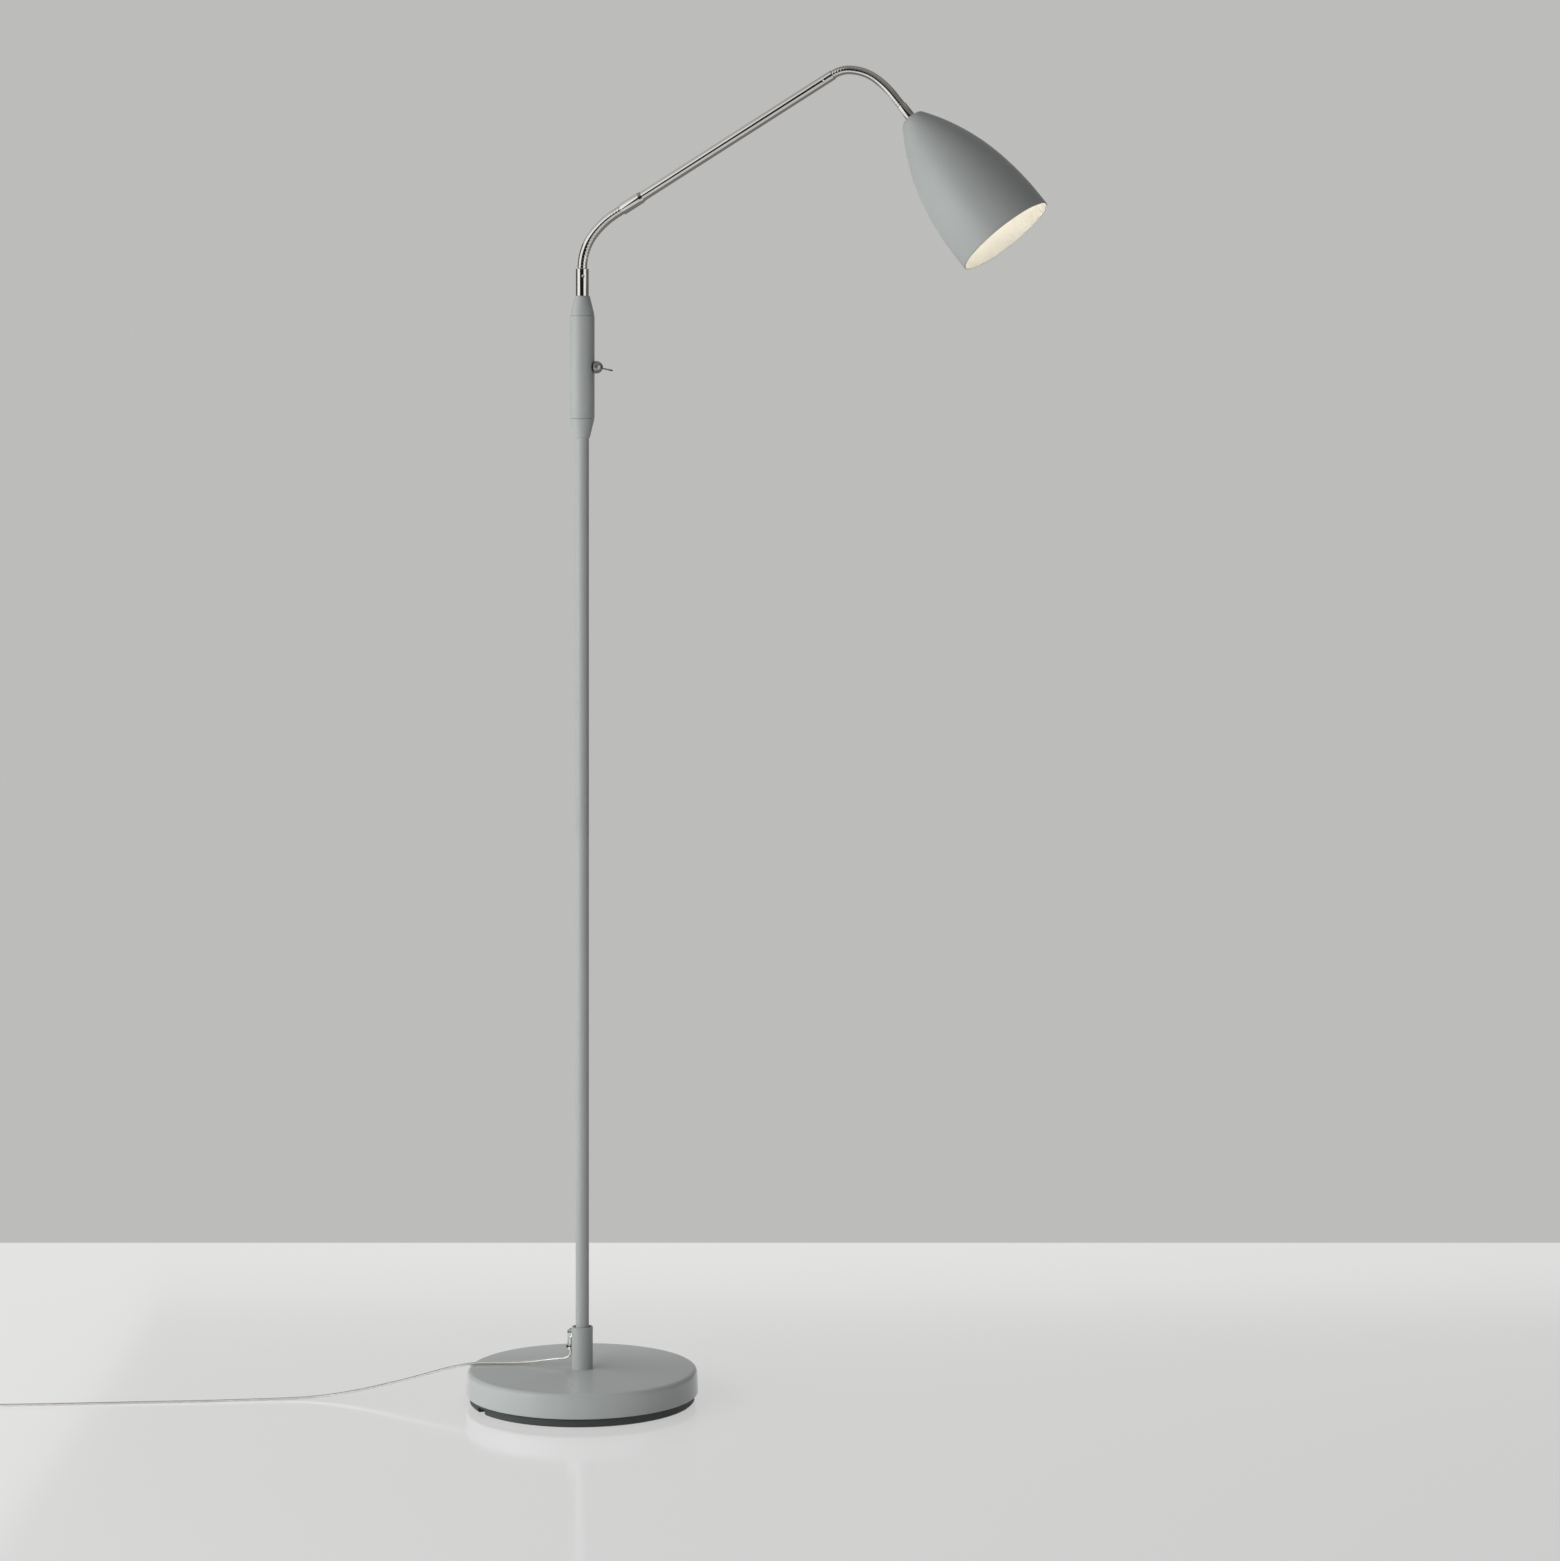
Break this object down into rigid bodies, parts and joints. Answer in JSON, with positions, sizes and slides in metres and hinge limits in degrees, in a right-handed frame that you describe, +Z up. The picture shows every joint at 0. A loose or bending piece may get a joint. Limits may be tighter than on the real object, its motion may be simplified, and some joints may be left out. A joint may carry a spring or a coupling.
{
  "type": "gooseneck floor lamp",
  "caption": "Slim reading floor lamp: round weighted base, thin pole with a toggle switch housing, polished gooseneck arm and a bell-shaped metal shade.",
  "frame": {"origin": "on the pole's axis, at the underside of the base plate, on the floor", "axes": "+Z up along the pole, +X towards the arm and the shade, as the lamp stands in the picture; +Y by the right-hand rule"},
  "size_m": [1.0756, 0.4729, 1.2972],
  "materials": {
    "grey_paint": "satin light grey powder coat",
    "dark_base": "dark grey, matt",
    "iron": "rough cast",
    "steel": "zinc-plated",
    "dark_steel": "blackened",
    "polished_nickel": "polished nickel",
    "clear_plastic": "clear",
    "cord_clear": "clear over tinned strands",
    "lead": "plain",
    "black_plastic": "matt black",
    "black_rubber": "matt",
    "holder": "white thermoplastic",
    "brass_pins": "nickel-plated",
    "bulb_shell": "opal",
    "plug_clear": "clear moulded"
  },
  "bodies": {
    "stand": {"base_cover": "grey_paint", "base_weight": "iron", "base_bottom_plate": "dark_base", "base_stem": "steel", "base_washer": "steel", "base_nut": "steel", "pole_foot": "grey_paint", "cord_clamp": "clear_plastic", "clamp_screws": "dark_steel", "pole_tube": "grey_paint", "pole_lead": "lead", "housing_lower_cone": "grey_paint", "housing_stem": "steel", "housing_nut": "steel", "housing_tube": "grey_paint", "housing_upper_cone": "grey_paint", "housing_lead": "lead", "switch_case": "black_plastic", "switch_bushing": "steel", "switch_washer": "black_rubber", "switch_dome_nut": "polished_nickel", "lower_ferrule": "polished_nickel", "lower_neck_root": "polished_nickel", "cord_run": "cord_clear", "cord_coil": "cord_clear", "cord_tail": "cord_clear", "plug_sleeve": "plug_clear", "plug_body": "plug_clear", "plug_pins": "brass_pins"},
    "switch": {"switch_lever": "polished_nickel"},
    "lower_link_1": {"lower_neck_link_1": "polished_nickel"},
    "lower_link_2": {"lower_neck_link_2": "polished_nickel"},
    "lower_link_3": {"lower_neck_link_3": "polished_nickel"},
    "lower_link_4": {"lower_neck_link_4": "polished_nickel"},
    "lower_link_5": {"lower_neck_link_5": "polished_nickel"},
    "lower_link_6": {"lower_neck_link_6": "polished_nickel"},
    "lower_link_7": {"lower_neck_link_7": "polished_nickel"},
    "lower_link_8": {"lower_neck_link_8": "polished_nickel"},
    "arm": {"lower_neck_tip": "polished_nickel", "arm_ferrule": "polished_nickel", "arm_tube": "polished_nickel", "arm_lead": "lead", "upper_neck_root": "polished_nickel"},
    "upper_link_1": {"upper_neck_link_1": "polished_nickel"},
    "upper_link_2": {"upper_neck_link_2": "polished_nickel"},
    "upper_link_3": {"upper_neck_link_3": "polished_nickel"},
    "upper_link_4": {"upper_neck_link_4": "polished_nickel"},
    "upper_link_5": {"upper_neck_link_5": "polished_nickel"},
    "upper_link_6": {"upper_neck_link_6": "polished_nickel"},
    "upper_link_7": {"upper_neck_link_7": "polished_nickel"},
    "upper_link_8": {"upper_neck_link_8": "polished_nickel"},
    "head": {"upper_neck_tip": "polished_nickel", "shade_ferrule": "polished_nickel", "shade": "grey_paint", "shade_locknut": "steel", "lampholder_cap": "holder", "lampholder": "holder", "bulb_cap": "steel", "bulb_glass": "bulb_shell"}
  },
  "joints": [
    {"name": "lower_bend_1", "type": "hinge", "parent": "stand", "child": "lower_link_1", "pos_m": [0.00052, 0, 1.11265], "axis": [0, 1, 0], "range_deg": [-11.92, 10]},
    {"name": "lower_side_1", "type": "hinge", "parent": "lower_link_1", "child": "lower_link_2", "pos_m": [0.00206, 0, 1.11996], "axis": [-0.9619, 0, 0.2734], "range_deg": [-11, 11]},
    {"name": "lower_bend_2", "type": "hinge", "parent": "lower_link_2", "child": "lower_link_3", "pos_m": [0.00459, 0, 1.12699], "axis": [0, 1, 0], "range_deg": [-11.92, 10]},
    {"name": "lower_side_2", "type": "hinge", "parent": "lower_link_3", "child": "lower_link_4", "pos_m": [0.00807, 0, 1.1336], "axis": [-0.8505, 0, 0.526], "range_deg": [-11, 11]},
    {"name": "lower_bend_3", "type": "hinge", "parent": "lower_link_4", "child": "lower_link_5", "pos_m": [0.01243, 0, 1.13967], "axis": [0, 1, 0], "range_deg": [-11.92, 10]},
    {"name": "lower_side_3", "type": "hinge", "parent": "lower_link_5", "child": "lower_link_6", "pos_m": [0.01747, 0, 1.1452], "axis": [-0.7092, 0, 0.705], "range_deg": [-11, 11]},
    {"name": "lower_bend_4", "type": "hinge", "parent": "lower_link_6", "child": "lower_link_7", "pos_m": [0.02296, 0, 1.15026], "axis": [0, 1, 0], "range_deg": [-11.92, 10]},
    {"name": "lower_side_4", "type": "hinge", "parent": "lower_link_7", "child": "lower_link_8", "pos_m": [0.02889, 0, 1.15483], "axis": [-0.5748, 0, 0.8183], "range_deg": [-11, 11]},
    {"name": "lower_bend_5", "type": "hinge", "parent": "lower_link_8", "child": "arm", "pos_m": [0.03519, 0, 1.15885], "axis": [0, 1, 0], "range_deg": [-11.92, 10]},
    {"name": "upper_bend_1", "type": "hinge", "parent": "arm", "child": "upper_link_1", "pos_m": [0.26173, 0, 1.29111], "axis": [0, 1, 0], "range_deg": [-16.22, 8]},
    {"name": "upper_side_1", "type": "hinge", "parent": "upper_link_1", "child": "upper_link_2", "pos_m": [0.27035, 0, 1.29281], "axis": [-0.0502, 0, 0.9987], "range_deg": [-11, 11]},
    {"name": "upper_bend_2", "type": "hinge", "parent": "upper_link_2", "child": "upper_link_3", "pos_m": [0.27913, 0, 1.29218], "axis": [0, 1, 0], "range_deg": [-16.22, 8]},
    {"name": "upper_side_2", "type": "hinge", "parent": "upper_link_3", "child": "upper_link_4", "pos_m": [0.28764, 0, 1.28991], "axis": [0.3436, 0, 0.9391], "range_deg": [-11, 11]},
    {"name": "upper_bend_3", "type": "hinge", "parent": "upper_link_4", "child": "upper_link_5", "pos_m": [0.2956, 0, 1.28615], "axis": [0, 1, 0], "range_deg": [-16.22, 8]},
    {"name": "upper_side_3", "type": "hinge", "parent": "upper_link_5", "child": "upper_link_6", "pos_m": [0.30281, 0, 1.28107], "axis": [0.6246, 0, 0.7809], "range_deg": [-11, 11]},
    {"name": "upper_bend_4", "type": "hinge", "parent": "upper_link_6", "child": "upper_link_7", "pos_m": [0.30941, 0, 1.27523], "axis": [0, 1, 0], "range_deg": [-16.22, 8]},
    {"name": "upper_side_4", "type": "hinge", "parent": "upper_link_7", "child": "upper_link_8", "pos_m": [0.31541, 0, 1.26877], "axis": [0.7653, 0, 0.6437], "range_deg": [-11, 11]},
    {"name": "upper_bend_5", "type": "hinge", "parent": "upper_link_8", "child": "head", "pos_m": [0.32101, 0, 1.26195], "axis": [0, 1, 0], "range_deg": [-16.22, 8]},
    {"name": "switch_toggle", "type": "hinge", "parent": "stand", "child": "switch", "pos_m": [0.0155, 0, 1.009], "axis": [0, 1, 0], "range_deg": [-24, 0]}
  ]
}
